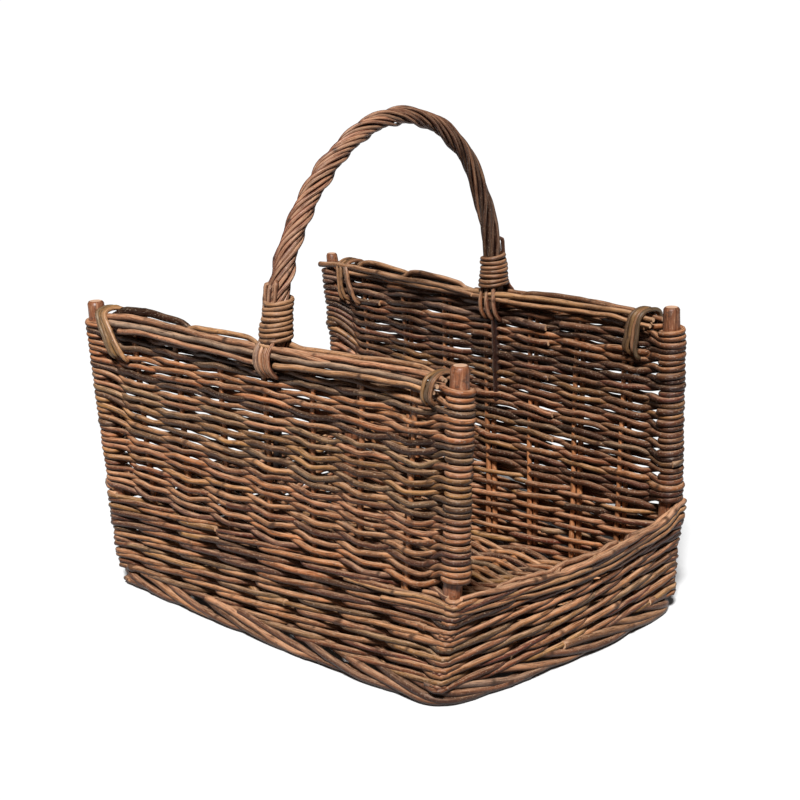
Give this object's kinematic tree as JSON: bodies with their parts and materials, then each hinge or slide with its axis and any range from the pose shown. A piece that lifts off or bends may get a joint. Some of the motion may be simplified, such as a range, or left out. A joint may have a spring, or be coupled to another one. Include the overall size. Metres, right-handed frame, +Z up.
{
  "type": "wicker log basket",
  "caption": "Willow log basket with two tall woven sides, low front and back walls and an arched twisted handle.",
  "frame": {"origin": "on the floor under the middle of the basket's overall box", "axes": "+Z up, +X across the basket along the handle's span, from the left panel to the right panel, +Y from the low front wall to the low back wall"},
  "size_m": [0.419, 0.5893, 0.564],
  "materials": {
    "post_wood": "satin peeled wood with pale sawn ends",
    "stake_willow": "satin willow bark, tan orange",
    "weave_willow": "satin willow bark in mixed browns, reds and olives",
    "border_willow": "satin willow bark, pale tan to brown",
    "tie_willow": "satin split willow, olive tan",
    "handle_willow": "satin willow bark, reddish brown to grey"
  },
  "bodies": {
    "root": {"front_left_post": "post_wood", "front_right_post": "post_wood", "back_left_post": "post_wood", "back_right_post": "post_wood", "left_panel_stakes": "stake_willow", "right_panel_stakes": "stake_willow", "front_wall_stakes": "stake_willow", "back_wall_stakes": "stake_willow", "left_panel_weave": "weave_willow", "right_panel_weave": "weave_willow", "left_band_wall": "weave_willow", "right_band_wall": "weave_willow", "front_band_wall": "weave_willow", "back_band_wall": "weave_willow", "front_border_rods": "border_willow", "back_border_rods": "border_willow", "left_rim_rods": "border_willow", "right_rim_rods": "border_willow", "front_left_tie": "tie_willow", "front_right_tie": "tie_willow", "back_left_tie": "tie_willow", "back_right_tie": "tie_willow", "handle_core": "handle_willow", "handle_twist": "handle_willow", "left_handle_binding": "handle_willow", "right_handle_binding": "handle_willow", "left_handle_tails": "handle_willow", "right_handle_tails": "handle_willow", "base_sticks": "stake_willow", "base_weave": "weave_willow", "front_foot_border": "border_willow", "back_foot_border": "border_willow", "left_foot_border": "border_willow", "right_foot_border": "border_willow"}
  },
  "joints": []
}
